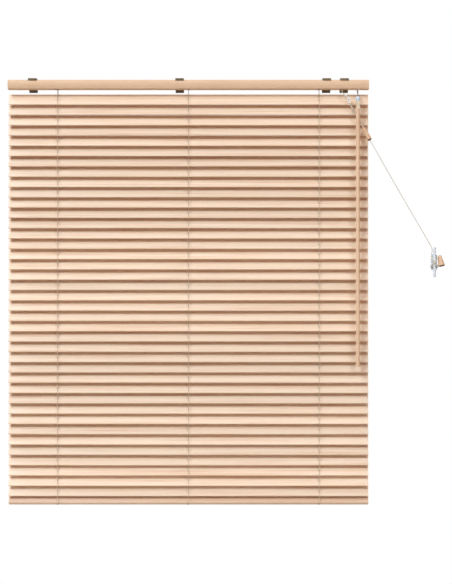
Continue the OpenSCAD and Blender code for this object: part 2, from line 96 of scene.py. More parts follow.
def make_camera():
    """Square on to the blind, with the cleat in view at the right."""
    sensor = 36.0
    distance = 3.6
    view_height = 1.2206
    aim = Vector((0.0784, 0.0, -0.4456))
    data = bpy.data.cameras.new("camera")
    data.sensor_width = sensor
    data.lens = sensor * distance / view_height
    data.clip_end = 100
    camera = bpy.data.objects.new("camera", data)
    bpy.context.scene.collection.objects.link(camera)
    camera.location = aim + Vector((0.0, -distance, 0.0))
    camera.rotation_euler = (math.pi / 2, 0.0, 0.0)
    bpy.context.scene.camera = camera


make_camera()

# ---- Materials ----

# The places of a colour Mix node's sockets.
MIX_SHARE, MIX_FROM, MIX_TO, MIX_RESULT = 0, 6, 7, 2


class Recipe:
    """A material's nodes, made one call at a time."""

    def __init__(self, name, rough, metallic=0.0, ior=1.5):
        self.material = bpy.data.materials.new(name)
        self.material.use_nodes = True
        self.nodes = self.material.node_tree.nodes
        self.links = self.material.node_tree.links
        self.shader = self.nodes["Principled BSDF"]
        self.set("Roughness", rough)
        self.set("Metallic", metallic)
        self.set("IOR", ior)

    def set(self, socket, value):
        self.shader.inputs[socket].default_value = value

    def link(self, output, target):
        self.links.new(output, target)

    def node(self, kind, **values):
        made = self.nodes.new(kind)
        for name, value in values.items():
            setattr(made, name, value)
        return made

    def place(self, scale, turn=(0, 0, 0), source="Object"):
        """Texture coordinates turned, then stretched by scale."""
        where = self.node("ShaderNodeTexCoord").outputs[source]
        if any(turn):
            turned = self.node("ShaderNodeMapping")
            turned.inputs["Rotation"].default_value = turn
            self.link(where, turned.inputs["Vector"])
            where = turned.outputs["Vector"]
        stretched = self.node("ShaderNodeMapping")
        stretched.inputs["Scale"].default_value = scale
        self.link(where, stretched.inputs["Vector"])
        return stretched.outputs["Vector"]

    def noise(self, where, detail=3.0, rough=0.55, bend=0.0):
        made = self.node("ShaderNodeTexNoise")
        made.inputs["Scale"].default_value = 1.0
        made.inputs["Detail"].default_value = detail
        made.inputs["Roughness"].default_value = rough
        made.inputs["Distortion"].default_value = bend
        self.link(where, made.inputs["Vector"])
        return made.outputs["Fac"]

    def ramp(self, value, *stops):
        """Colours along a value: each stop is (position, (r, g, b))."""
        made = self.node("ShaderNodeValToRGB")
        band = made.color_ramp
        while len(band.elements) < len(stops):
            band.elements.new(0.5)
        for element, (at, colour) in zip(band.elements, stops):
            element.position = at
            element.color = (*colour, 1.0)
        self.link(value, made.inputs["Fac"])
        return made.outputs["Color"]

    def towards(self, share, output, colour):
        """A colour output moved towards a plain colour by a share."""
        made = self.node("ShaderNodeMix", data_type="RGBA")
        self.link(share, made.inputs[MIX_SHARE])
        self.link(output, made.inputs[MIX_FROM])
        made.inputs[MIX_TO].default_value = (*colour, 1.0)
        return made.outputs[MIX_RESULT]

    def math(self, how, a, b):
        """Two values combined. a and b are each an output or a number."""
        made = self.node("ShaderNodeMath", operation=how)
        for socket, value in enumerate((a, b)):
            if isinstance(value, bpy.types.NodeSocket):
                self.link(value, made.inputs[socket])
            else:
                made.inputs[socket].default_value = value
        return made.outputs[0]

    def spread(self, value, low, high):
        """A value of 0 to 1 as one of low to high."""
        made = self.node("ShaderNodeMapRange")
        made.inputs["To Min"].default_value = low
        made.inputs["To Max"].default_value = high
        self.link(value, made.inputs["Value"])
        return made.outputs["Result"]

    def colour(self, output):
        self.link(output, self.shader.inputs["Base Color"])

    def rough(self, output, low, high):
        self.link(self.spread(output, low, high), self.shader.inputs["Roughness"])

    def bump(self, height, depth, strength=1.0):
        made = self.node("ShaderNodeBump")
        made.inputs["Distance"].default_value = depth
        made.inputs["Strength"].default_value = strength
        self.link(height, made.inputs["Height"])
        self.link(made.outputs["Normal"], self.shader.inputs["Normal"])


def wood(name, light, warm, dark, turn=(0, 0, 0), along=(1, 0, 0)):
    """Pale lime wood with its grain along one axis. A mesh's tone makes it lighter or darker."""

    def grain(long, across):
        return tuple(long if a else across for a in along)

    made = Recipe(name, 0.5)
    streaks = made.noise(made.place(grain(4, 260), turn), detail=5, rough=0.6, bend=0.4)
    bands = made.noise(made.place(grain(1.6, 60), turn), detail=3, rough=0.5, bend=0.8)
    fibres = made.noise(made.place(grain(60, 2600), turn), detail=2, rough=0.5)
    figure = made.ramp(streaks, (0.30, dark), (0.48, warm), (0.62, light))
    tinted = made.towards(made.spread(bands, -0.6, 1.3), figure, light)
    shaded = made.towards(made.spread(fibres, 0.0, 0.22), tinted, dark)
    tone = made.node("ShaderNodeAttribute", attribute_name="tone").outputs["Fac"]
    toned = made.node("ShaderNodeHueSaturation")
    made.link(shaded, toned.inputs["Color"])
    made.link(made.spread(tone, 0.93, 1.06), toned.inputs["Value"])
    made.colour(toned.outputs["Color"])
    made.rough(fibres, 0.42, 0.6)
    made.set("Coat Weight", 0.12)
    made.set("Coat Roughness", 0.35)
    made.bump(made.math("ADD", streaks, fibres), 0.00006, 0.5)
    return made.material


def painted(name, light, dark, rough):
    """Sprayed paint with a fine orange-peel skin."""
    grain = 1500
    made = Recipe(name, rough)
    clouds = made.noise(made.place((9, 60, 60)), detail=3)
    made.colour(made.ramp(clouds, (0.35, dark), (0.65, light)))
    skin = made.noise(made.place((grain, grain, grain)), detail=1)
    made.rough(skin, rough - 0.06, rough + 0.08)
    made.bump(skin, 0.00002, 0.5)
    return made.material


def plastic(name, light, dark, rough):
    """Moulded plastic with faint flow marks."""
    made = Recipe(name, rough)
    flow = made.noise(made.place((90, 90, 30)), detail=4, bend=0.6)
    made.colour(made.ramp(flow, (0.3, dark), (0.7, light)))
    grain = made.noise(made.place((2500, 2500, 2500)), detail=1)
    made.rough(grain, rough - 0.05, rough + 0.1)
    made.bump(grain, 0.00001, 0.4)
    return made.material


def clear_plastic(name, light, dark, clearness, ior):
    """Clear moulded plastic with faint clouds."""
    made = Recipe(name, 0.12, ior=ior)
    flow = made.noise(made.place((160, 160, 60)), detail=3, bend=0.5)
    made.colour(made.ramp(flow, (0.3, dark), (0.7, light)))
    made.set("Transmission Weight", clearness)
    made.rough(flow, 0.08, 0.22)
    made.bump(flow, 0.0001, 0.3)
    return made.material


def steel(name, light, dark, along=(1, 0, 0)):
    """Drawn steel, brushed along one axis."""
    long, across = 20, 1800
    made = Recipe(name, 0.32, metallic=1.0)
    lines = made.noise(made.place(tuple(long if a else across for a in along)), detail=3)
    made.colour(made.ramp(lines, (0.3, dark), (0.7, light)))
    made.rough(lines, 0.24, 0.42)
    made.bump(lines, 0.00001, 0.5)
    return made.material


def braid(name, length, light, dark):
    """Braided cord: two sets of strands wind round it in opposite senses."""
    pitch = 0.0028
    strands = 4
    made = Recipe(name, 0.85)
    made.set("Sheen Weight", 0.25)
    made.set("Sheen Roughness", 0.5)
    split = made.node("ShaderNodeSeparateXYZ")
    made.link(made.place((1, 1, 1), source="UV"), split.inputs["Vector"])
    turns = made.math("MULTIPLY", split.outputs["X"], 2 * math.pi * length / pitch)
    round_it = made.math("MULTIPLY", split.outputs["Y"], 2 * math.pi * strands)
    right = made.math("SINE", made.math("ADD", turns, round_it), 0.0)
    left = made.math("SINE", made.math("SUBTRACT", turns, round_it), 0.0)
    weave = made.spread(made.math("MAXIMUM", right, left), 0.0, 1.0)
    # The colour is darker where the strands dip between each other: painted shade in the grooves.
    made.colour(made.ramp(weave, (0.1, dark), (0.8, light)))
    made.bump(weave, 0.0001, 0.7)
    return made.material


def twisted(name, light, dark, pitch):
    """Thin twisted string. Its twist follows height and depth."""
    made = Recipe(name, 0.85)
    made.set("Sheen Weight", 0.2)
    step = 2 * math.pi / pitch
    split = made.node("ShaderNodeSeparateXYZ")
    made.link(made.place((step, step, step)), split.inputs["Vector"])
    slant = made.math("ADD", split.outputs["Z"], split.outputs["X"])
    ply = made.math("SINE", made.math("ADD", slant, split.outputs["Y"]), 0.0)
    fuzz = made.noise(made.place((2400, 2400, 1200)), detail=2)
    weave = made.math("ADD", made.spread(ply, 0.25, 0.75), made.spread(fuzz, -0.2, 0.2))
    # The colour is darker in the grooves between plies, which is painted shade; the fuzz adds real
    # variation.
    made.colour(made.ramp(weave, (0.1, dark), (0.8, light)))
    made.bump(weave, 0.00008, 0.6)
    return made.material


SLAT_WOOD = wood(
    "slat_wood", (0.89, 0.785, 0.60), (0.85, 0.705, 0.505), (0.67, 0.47, 0.29), (-CLOSED, 0, 0)
)
# Wood for the bottom rail, darker than the slats' wood: painted shade of the rail's face, which hangs
# more in shadow.
RAIL_SHADED_WOOD = wood(
    "rail_wood", (0.77, 0.595, 0.41), (0.73, 0.535, 0.35), (0.60, 0.385, 0.22), (-CLOSED, 0, 0)
)
WAND_WOOD = wood(
    "wand_wood", (0.84, 0.655, 0.435), (0.785, 0.595, 0.38), (0.63, 0.435, 0.26), along=(0, 0, 1)
)
TASSEL_WOOD = wood(
    "tassel_wood", (0.87, 0.66, 0.435), (0.79, 0.57, 0.355), (0.60, 0.385, 0.22), along=(0, 0, 1)
)
# Near-black wood colour for the band round each tassel's foot: painted shade along the foot's lower
# edge.
TASSEL_FOOT_SHADE = wood(
    "dark_wood", (0.14, 0.06, 0.035), (0.10, 0.045, 0.025), (0.06, 0.03, 0.018), along=(0, 0, 1)
)
BEIGE_PAINT = painted("beige_paint", (0.80, 0.615, 0.40), (0.765, 0.58, 0.375), 0.42)
BROWN_PAINT = painted("brown_paint", (0.23, 0.20, 0.11), (0.13, 0.11, 0.055), 0.45)
BRIGHT_PLASTIC = plastic("bright_plastic", (0.96, 0.96, 0.94), (0.92, 0.92, 0.90), 0.3)
WHITE_PLASTIC = plastic("white_plastic", (0.88, 0.87, 0.82), (0.80, 0.79, 0.74), 0.32)
CLEAR_PLASTIC = clear_plastic("clear_plastic", (0.81, 0.955, 1.0), (0.74, 0.91, 1.0), 0.03, 1.3)
GLASSY_PLASTIC = clear_plastic("glassy_plastic", (1.0, 1.0, 1.0), (0.96, 0.97, 0.99), 1.0, 1.15)
FROSTED_PLASTIC = clear_plastic("frosted_plastic", (0.76, 0.93, 1.0), (0.69, 0.89, 1.0), 0.08, 1.46)
PLAIN_STEEL = steel("plain_steel", (0.66, 0.65, 0.63), (0.50, 0.49, 0.47))
WIRE_STEEL = steel("wire_steel", (0.62, 0.60, 0.60), (0.45, 0.43, 0.43), along=(0, 0, 1))
STRING = twisted("string", (0.86, 0.74, 0.54), (0.56, 0.45, 0.29), 0.0016)
# Dark plastic for the bottom rail's plugs and knots, and also for the piece that paints the shade in
# the cord ring's hole.
KNOT_AND_HOLE_SHADE = plastic("knot", (0.10, 0.045, 0.025), (0.06, 0.03, 0.018), 0.6)
CORD_COLOURS = ((0.80, 0.79, 0.66), (0.50, 0.49, 0.38))
# The lift cords are coloured darker than the pull cord: painted shade, for the headrail's shadow they
# hang in and the slots they show through.
LIFT_CORD_SHADED_COLOURS = ((0.46, 0.41, 0.29), (0.27, 0.22, 0.14))

# ---- Making pieces ----


def mounted(name, data, body, replaced):
    """A mesh or curve as a piece of the object that rides on a body."""
    made = bpy.data.objects.new(name, data)
    bpy.context.scene.collection.objects.link(made)
    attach(made, body)
    if replaced:
        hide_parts(*replaced)
    return made


def piece(name, mesh, body, material, slot, *replaced):
    """A mesh with its finish on, as a piece."""
    mesh.materials.clear()
    mesh.materials.append(material)
    mesh.shade_smooth()
    mesh.set_sharp_from_angle(angle=math.radians(50))
    return mounted(name, mesh, body, replaced)


def finished(bm, name):
    """A bmesh as a mesh with its faces turned outwards."""
    bmesh.ops.recalc_face_normals(bm, faces=bm.faces)
    mesh = bpy.data.meshes.new(name)
    bm.to_mesh(mesh)
    bm.free()
    return mesh


def set_tone(mesh, tone):
    """How light this piece of wood is, from 0 to 1."""
    layer = mesh.attributes.new("tone", "FLOAT", "POINT")
    layer.data.foreach_set("value", [tone] * len(mesh.vertices))


def lathe(outline, steps, place):
    """A closed (radius, height) outline turned about Z, then placed."""
    bm = bmesh.new()
    rings = []
    for radius, height in outline:
        if radius < TINY:
            rings.append([bm.verts.new(place @ Vector((0.0, 0.0, height)))])
            continue
        ring = []
        for k in range(steps):
            a = 2 * math.pi * k / steps
            point = Vector((radius * math.cos(a), radius * math.sin(a), height))
            ring.append(bm.verts.new(place @ point))
        rings.append(ring)
    pairs = list(zip(rings, rings[1:]))
    if len(rings[0]) > 1 and len(rings[-1]) > 1:
        pairs.append((rings[-1], rings[0]))
    for low, high in pairs:
        for k in range(steps):
            corners = [low[k % len(low)], low[(k + 1) % len(low)]]
            corners += [high[(k + 1) % len(high)], high[k % len(high)]]
            corners = list(dict.fromkeys(corners))
            if len(corners) > 2:
                bm.faces.new(corners)
    return bm


def arc(mid, radius, start, end, steps):
    """Points (across, up) on an arc, its angles in degrees."""
    angles = [math.radians(start + (end - start) * k / steps) for k in range(steps + 1)]
    return [(mid[0] + radius * math.cos(a), mid[1] + radius * math.sin(a)) for a in angles]


def mirrored(outline, between=()):
    """An outline, the points between, and the outline's mirror image."""
    return [*outline, *between, *((r, -h) for r, h in reversed(outline))]


def add_tube(bm, points, radius, sides):
    """A round tube with closed ends along points, added to a bmesh."""
    points = [Vector(p) for p in points]
    side = None
    rings = []
    for k, point in enumerate(points):
        ahead = (points[min(k + 1, len(points) - 1)] - points[max(k - 1, 0)]).normalized()
        if side is None:
            side = ahead.orthogonal()
        side = (side - side.dot(ahead) * ahead).normalized()
        up = ahead.cross(side)
        ring = []
        for s in range(sides):
            a = 2 * math.pi * s / sides
            ring.append(bm.verts.new(point + radius * (math.cos(a) * side + math.sin(a) * up)))
        rings.append(ring)
    for low, high in zip(rings, rings[1:]):
        for s in range(sides):
            bm.faces.new([low[s], low[(s + 1) % sides], high[(s + 1) % sides], high[s]])
    bm.faces.new(rings[0][::-1])
    bm.faces.new(rings[-1])


def evenly(points, step):
    """The same line with points no further apart than step."""
    out = [Vector(points[0])]
    for a, b in zip(points, points[1:]):
        a, b = Vector(a), Vector(b)
        count = max(1, math.ceil((b - a).length / step))
        out += [a.lerp(b, (k + 1) / count) for k in range(count)]
    return out


def curve_cord(name, points, diameter, body, material, slot, *replaced):
    """A smooth round cord through points, as a curve."""
    data = bpy.data.curves.new(name, "CURVE")
    data.dimensions = "3D"
    data.bevel_depth = diameter / 2
    data.bevel_resolution = 3
    data.resolution_u = 8
    data.use_fill_caps = True
    spline = data.splines.new("BEZIER")
    spline.bezier_points.add(len(points) - 1)
    for knot, point in zip(spline.bezier_points, points):
        knot.co = point
        knot.handle_left_type = "AUTO"
        knot.handle_right_type = "AUTO"
    data.materials.append(material)
    return mounted(name, data, body, replaced)


def copied(node):
    """A CAD node's mesh as a bmesh with flat faces in one piece."""
    bm = bmesh.new()
    bm.from_mesh(frame["nodes"][node].data)
    same_place = 1e-6
    nearly_flat = math.radians(0.8)
    bmesh.ops.remove_doubles(bm, verts=bm.verts, dist=same_place)
    bmesh.ops.dissolve_limit(bm, angle_limit=nearly_flat, verts=bm.verts, edges=bm.edges)
    return bm


def soften(bm, width, least=40):
    """Rounds the edges of a bmesh that turn by at least so many degrees."""
    sharp = [e for e in bm.edges if len(e.link_faces) == 2]
    sharp = [e for e in sharp if e.calc_face_angle() > math.radians(least)]
    bmesh.ops.bevel(
        bm, geom=sharp, offset=width, segments=2, profile=0.6, affect="EDGES", clamp_overlap=True
    )


def softened(node, width, body, material, slot):
    """A CAD node's shape with rounded edges, as the piece that stands for it."""
    bm = copied(node)
    soften(bm, width)
    return piece(node + "_piece", finished(bm, node + "_piece"), body, material, slot, node)


def cut_along(bm, axis, places):
    """Cuts a bmesh by planes across an axis, so that it can bend."""
    for at in places:
        spot = Vector((0, 0, 0))
        spot[axis] = at
        across = Vector((0, 0, 0))
        across[axis] = 1
        everything = [*bm.verts, *bm.edges, *bm.faces]
        bmesh.ops.bisect_plane(bm, geom=everything, dist=TINY, plane_co=spot, plane_no=across)


# ---- Pull cord, its fittings and the cleat ----

LEFT_STRAND = [
    (0.3204, -0.0092, -0.0225), (0.3204, -0.0093, -0.0264), (0.3213, -0.0109, -0.0306),
    (0.3236, -0.0126, -0.0338), (0.3264, -0.0137, -0.037), (0.3292, -0.0142, -0.0402),
    (0.3312, -0.0143, -0.0437), (0.3329, -0.0143, -0.048), (0.3351, -0.0143, -0.0535),
    (0.3422, -0.0143, -0.0658), (0.3495, -0.0143, -0.0787), (0.3566, -0.0144, -0.0914),
    (0.3602, -0.0156, -0.0979), (0.364, -0.0174, -0.1049),
]
RIGHT_STRAND = [
    (0.3204, -0.0056, -0.0225), (0.3204, -0.0057, -0.0264), (0.3222, -0.0073, -0.0303),
    (0.3254, -0.0098, -0.033), (0.3289, -0.0122, -0.0356), (0.332, -0.0137, -0.0384),
    (0.3346, -0.0142, -0.0413), (0.3361, -0.0143, -0.0449), (0.3363, -0.0143, -0.049),
    (0.337, -0.0143, -0.0532), (0.3438, -0.0143, -0.0647), (0.3511, -0.0143, -0.0777),
    (0.3583, -0.0144, -0.0905), (0.3618, -0.0156, -0.097), (0.3656, -0.0174, -0.104),
]
MIDDLE_STRAND = [
    (0.3204, -0.0074, -0.0225), (0.3204, -0.0075, -0.0264), (0.3218, -0.009, -0.0304),
    (0.3244, -0.011, -0.0333), (0.3275, -0.0128, -0.0362), (0.3304, -0.0139, -0.0392),
    (0.3324, -0.0143, -0.0427), (0.3336, -0.0143, -0.0467), (0.3354, -0.0143, -0.0508),
]
HANGING = [
    (0.3779, -0.0174, -0.13), (0.3974, -0.0147, -0.1636), (0.4303, -0.0094, -0.2199),
    (0.4636, -0.004, -0.2764), (0.497, 0.0016, -0.3323), (0.5044, 0.003, -0.3451),
    (0.5089, 0.0043, -0.3534),
]
# These points are counted from the middle of the cleat.
WINDING = [
    (-0.0049, 0.0054, 0.024), (-0.0059, 0.0063, 0.018),
    (-0.0063, 0.007, 0.0125), (-0.0057, 0.0057, 0.0088),
    (-0.0038, 0.0023, 0.005), (0.0004, 0.0013, 0), (0.0036, 0.0024, -0.0044),
    (0.0055, 0.0048, -0.0062), (0.0062, 0.0088, -0.0072), (0.0057, 0.0117, -0.0092),
    (0.0034, 0.0132, -0.0113), (0.0002, 0.0134, -0.0123), (-0.0033, 0.0131, -0.0111),
    (-0.0055, 0.012, -0.0088), (-0.0064, 0.0094, -0.0064), (-0.006, 0.0057, -0.005),
    (-0.0032, 0.0017, -0.0038), (0, -0.0004, 0), (0.003, 0.001, 0.004),
    (0.0053, 0.0048, 0.0059), (0.006, 0.0082, 0.0074), (0.0053, 0.0105, 0.0094),
    (0.003, 0.0114, 0.0116), (0, 0.0114, 0.0125), (-0.003, 0.011, 0.0116),
    (-0.0055, 0.0102, 0.0086), (-0.0065, 0.008, 0.0052), (-0.0065, 0.0046, 0.0032),
    (-0.0038, 0, 0.0012), (0, -0.0018, -0.0014), (0.0036, 0, -0.0052),
    (0.0071, 0.0042, -0.0064), (0.0081, 0.0079, -0.0078), (0.0068, 0.0107, -0.0102),
    (0.0038, 0.0118, -0.0136), (0.0002, 0.0118, -0.0149), (-0.0039, 0.0117, -0.0136),
    (-0.0071, 0.0105, -0.0098), (-0.0077, 0.0074, -0.0073), (-0.0065, 0.0017, -0.0068),
    (-0.0033, -0.0019, -0.0051), (0.0002, -0.0034, -0.0012), (0.0034, -0.0022, 0.0034),
    (0.0061, -0.001, 0.0078), (0.0079, 0.0008, 0.0122), (0.0098, 0.0031, 0.0146),
]
PULL = HANGING + [tuple(CLEAT + Vector(p)) for p in WINDING]
RING = Vector((0.3338, -0.0143, -0.0446))
BEAD = Vector((0.3352, -0.0143, -0.052))
# A tassel's top, its lean, its length and its radius at the top and at the foot.
JOINER = (Vector((0.3648, -0.0174, -0.1044)), math.radians(-27), 0.0288, 0.0033, 0.0047)
TASSEL = (Vector((0.525, 0.0034, -0.3692)), math.radians(-12), 0.0235, 0.0039, 0.0067)
FACE_ON = Matrix.Rotation(math.pi / 2, 4, "X")


def length_of(points):
    return sum((Vector(b) - Vector(a)).length for a, b in zip(points, points[1:]))


def make_ring():
    """The round joint of the strands: a thick disc with a hole and a raised rim."""
    outline = arc((0.0034, 0.0006), 0.0007, 0, 90, 4) + [(0.0029, 0.0009), (0.0022, 0.0009)]
    outline += [(0.0017, 0.0012), (0.0012, 0.0010)]
    mesh = finished(lathe(mirrored(outline), 40, Matrix.Translation(RING) @ FACE_ON), "cord_ring")
    return piece("cord_ring", mesh, ROOT, BRIGHT_PLASTIC, "white_plastic", "cord_fittings")


def make_hole_shade():
    """A small dark domed piece in the middle of the ring that fills its hole: painted shade in the
    hole.
    """
    outline = [(0.0, 0.0013)] + arc((0.0005, 0.0008), 0.0005, 75, 0, 4)
    mesh = finished(lathe(mirrored(outline), 24, Matrix.Translation(RING) @ FACE_ON), "ring_rivet")
    return piece("ring_rivet", mesh, ROOT, KNOT_AND_HOLE_SHADE, "brown_steel")


def make_bead():
    """The bead under the ring, with its short neck."""
    lean = Matrix.Translation(BEAD) @ Matrix.Rotation(math.radians(-12), 4, "Y")
    outline = [(0.0, -0.0024)] + arc((0, 0), 0.0025, -75, 62, 10)
    outline += [(0.0009, 0.0028), (0.0009, 0.0042), (0.0, 0.0043)]
    mesh = finished(lathe(outline, 32, lean), "cord_bead")
    return piece("cord_bead", mesh, ROOT, BRIGHT_PLASTIC, "white_plastic")


def make_tassel(name, top, lean, length, top_r, foot_r):
    """A turned wooden tassel and a dark band round the lower edge of its foot, which is painted shade
    where the foot turns under.
    """
    place = Matrix.Translation(top) @ Matrix.Rotation(lean, 4, "Y")
    rim = 0.0032
    recess = 0.0012
    shoulder = 0.4 * top_r
    outline = [(0.0, -0.0012), (0.0009, -0.0010), (0.0012, 0.0)]
    outline += arc((top_r - shoulder, -shoulder), shoulder, 90, 0, 6)
    for share, swell in ((0.2, 0.16), (0.4, 0.44), (0.6, 0.74), (0.78, 0.94)):
        outline.append((top_r + (foot_r - top_r) * swell, -length * share))
    outline += arc((foot_r - rim, -length + rim), rim, 0, -80, 6)
    outline += [(foot_r * 0.62, -length), (foot_r * 0.58, -length + recess)]
    outline += [(0.0, -length + recess)]
    mesh = finished(lathe(outline, 40, place), name)
    set_tone(mesh, 0.5)
    wooden = piece(name, mesh, ROOT, TASSEL_WOOD, "wand_wood")
    # The dark band is painted shade along the foot's lower edge.
    band = [(foot_r * 0.45, -length + 0.0013), (foot_r * 0.45, -length - 0.0001)]
    band += [(foot_r - 0.9 * rim, -length - 0.00015)]
    band += arc((foot_r - rim, -length + rim), rim + 0.00012, -60, -5, 5)
    band += [(foot_r - 0.0007, -length + 0.0019)]
    dark = finished(lathe(band, 40, place), name + "_foot")
    set_tone(dark, 0.5)
    return [wooden, piece(name + "_foot", dark, ROOT, TASSEL_FOOT_SHADE, "brown_steel")]


def cleat_slab(width, height, corner, near):
    """A plate of the cleat with rounded corners, from near to the wall."""
    bm = bmesh.new()
    side = width / 2 - corner
    up = height / 2 - corner
    outline = arc((side, up), corner, 0, 89, 8) + arc((-side, up), corner, 91, 180, 8)
    outline += [(-x, -z) for x, z in outline]
    rings = []
    for y in (near, WALL_Y):
        rings.append([bm.verts.new(CLEAT + Vector((x, y, z))) for x, z in outline])
    front, rear = rings
    for k in range(len(outline)):
        follow = (k + 1) % len(outline)
        bm.faces.new([front[k], front[follow], rear[follow], rear[k]])
    bm.faces.new(front)
    bm.faces.new(rear[::-1])
    return bm


def make_cleat():
    """The clear cleat, blended into one moulding: base plate, neck and two round-ended horns."""
    horn_y = 0.0053
    horn_r = 0.0028
    half = 0.0313
    end_r = horn_r - 0.0012
    horn = [(0.0, -half)] + arc((horn_r - end_r, -half + end_r), end_r, -80, -10, 5)
    horn += [(horn_r, -0.012)]
    both = mirrored(horn, [(horn_r + 0.0002, 0.0)])
    horns = lathe(both, 32, Matrix.Translation(CLEAT + Vector((0, horn_y, 0))))
    neck = cleat_slab(0.009, 0.022, 0.0045, horn_y)
    base = cleat_slab(0.013, 0.033, 0.0035, WALL_Y - 0.0025)
    whole = bmesh.new()
    for part in (horns, neck, base):
        mesh = finished(part, "part")
        whole.from_mesh(mesh)
        bpy.data.meshes.remove(mesh)
    mesh = finished(whole, "cord_cleat_piece")
    made = piece("cord_cleat_piece", mesh, ROOT, CLEAR_PLASTIC, "clear_plastic", "cord_cleat")
    remesh = made.modifiers.new("one_moulding", "REMESH")
    remesh.mode = "VOXEL"
    remesh.voxel_size = 0.0004
    remesh.use_smooth_shade = True
    smooth = made.modifiers.new("fillets", "SMOOTH")
    smooth.factor = 0.5
    smooth.iterations = 2
    blended = made.evaluated_get(bpy.context.evaluated_depsgraph_get())
    made.data = bpy.data.meshes.new_from_object(blended)
    made.modifiers.clear()


def make_cords():
    ring = make_ring()
    hole_shade = make_hole_shade()
    bead = make_bead()
    joiner = make_tassel("joining_tassel", *JOINER)
    tassel = make_tassel("end_tassel", *TASSEL)
    strands = (
        ("left_strand", LEFT_STRAND, [ring, hole_shade, bead, *joiner]),
        ("right_strand", RIGHT_STRAND, [ring, hole_shade, bead, *joiner]),
        ("middle_strand", MIDDLE_STRAND, [ring, hole_shade, bead]),
    )
    for name, route, pieces in strands:
        long = length_of(route)
        cotton = braid(name, long, *CORD_COLOURS)
        made = curve_cord(name, route, CORD_D, ROOT, cotton, "cream_cord", "pull_cords")
    long = length_of(PULL)
    cotton = braid("pull_cord", long, *CORD_COLOURS)
    made = curve_cord("pull_cord", PULL, CORD_D, ROOT, cotton, "cream_cord", "pull_cords")


make_cords()
make_cleat()

# ---- Slats and bottom rail ----


def make_slat(node, chance):
    """A slat with eased edges that is a little bowed and twisted, as thin wood is."""
    bm = copied(node)
    flat = Matrix.Rotation(-CLOSED, 4, "X") @ Matrix.Translation((0, 0, -middle(node)))
    bmesh.ops.transform(bm, matrix=flat, verts=bm.verts)
    soften(bm, 0.00035, 60)
    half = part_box(node)[1].x
    cuts = 8
    cut_along(bm, 0, [half * k / cuts for k in range(1 - cuts, cuts)])
    tilt = math.radians(chance.uniform(-0.7, 0.7))
    twist = math.radians(chance.uniform(-0.9, 0.9))
    bow = chance.uniform(-0.00025, 0.00025)
    wave = chance.uniform(-0.00012, 0.00012)
    for v in bm.verts:
        share = v.co.x / half
        turn = Matrix.Rotation(tilt + twist * share, 3, "X")
        v.co = turn @ v.co
        v.co.z += bow * (1 - share * share) + wave * math.sin(3 * math.pi * share)
    bmesh.ops.transform(bm, matrix=flat.inverted(), verts=bm.verts)
    mesh = finished(bm, node + "_piece")
    set_tone(mesh, chance.random())
    return piece(node + "_piece", mesh, node, SLAT_WOOD, "slat_wood", node)


def make_bottom_rail():
    made = softened("bottom_rail", 0.0004, "bottom_rail", RAIL_SHADED_WOOD, "slat_wood")
    # The low tone darkens the rail's wood further: painted shade.
    set_tone(made.data, 0.2)
    softened("bottom_plugs", 0.0004, "bottom_rail", KNOT_AND_HOLE_SHADE, "brown_steel")


chance = random.Random(25)
for slat in SLATS:
    make_slat(slat, chance)
make_bottom_rail()

# ---- Headrail and what is in it ----


def crowned(node, material, slot):
    """A copy of a headrail part whose front face bulges a little, as rolled sheet does."""
    bm = copied(node)
    cut_along(bm, 2, [RAIL_MID + RAIL_HALF * k / 8 for k in range(-6, 7)])
    bulge = 0.0019
    front_sheet = RAIL_LOW.y + 0.0011
    for v in bm.verts:
        share = (v.co.z - RAIL_MID) / RAIL_HALF
        if v.co.y < front_sheet:
            v.co.y -= bulge * (0.5 - share * share)
    return piece(node + "_piece", finished(bm, node + "_piece"), ROOT, material, slot, node)


crowned("headrail", BEIGE_PAINT, "beige_steel")
crowned("end_caps", BEIGE_PAINT, "beige_plastic")
softened("mounting_brackets", 0.00025, ROOT, BROWN_PAINT, "brown_steel")
softened("drum_cradles", 0.0002, ROOT, WHITE_PLASTIC, "white_plastic")
softened("tilt_drums", 0.0003, "tilt_rod", WHITE_PLASTIC, "white_plastic")
softened("tilt_rod", 0.0002, "tilt_rod", PLAIN_STEEL, "plain_steel")
softened("cord_lock", 0.0001, ROOT, PLAIN_STEEL, "plain_steel")
softened("cord_lock_roller", 0.0001, "lock_roller", WHITE_PLASTIC, "white_plastic")


def recolour(node, material):
    """A CAD node that keeps its own shape gets a finished material."""
    mesh = frame["nodes"][node].data
    mesh.materials.clear()
    mesh.materials.append(material)


recolour("tilter_housing", WHITE_PLASTIC)
recolour("tilter_gear", WHITE_PLASTIC)
recolour("tilter_worm", WIRE_STEEL)

# ---- Ladders ----


def face_point(along, out):
    """A point counted from a slat's axis: along its width from front to back, and out of its face."""
    turn = Matrix.Rotation(CLOSED, 3, "X")
    return turn @ Vector((0, along, out))


def make_rungs(node, body):
    """The pairs of thin strings that carry a slat from the front string to the back one."""
    under = 0.0018
    spread = 0.0011
    thin = 0.00032
    # How far along the slat's width, how far out of its face, and what share of the spread.
    shape = (
        (-STRING_REACH, 0.0, 0.0), (-0.0135, -0.0009, 0.5), (-0.0115, -under, 1.0),
        (0.0, -under - 0.0003, 1.0),
        (0.0115, -under, 1.0), (0.0135, -0.0009, 0.5), (STRING_REACH, 0.0, 0.0),
    )
    bm = bmesh.new()
    for x in LADDERS:
        for side in (-1, 1):
            route = []
            for along, out, aside in shape:
                shift = Vector((x + side * spread * aside, 0, middle(node)))
                route.append(face_point(along, out) + shift)
            add_tube(bm, route, thin, 8)
    name = node.replace("slat", "rungs")
    piece(name, finished(bm, name), body, STRING, "cream_cord")


def strings_piece(name, body, routes, radius, *replaced):
    """Several strings as one piece."""
    bm = bmesh.new()
    for route in routes:
        add_tube(bm, evenly(route, 0.01), radius, 10)
    return piece(name, finished(bm, name), body, STRING, "cream_cord", *replaced)


def vertical(x, y, high, low):
    """The two ends of an upright string."""
    return [(x, y, high), (x, y, low)]


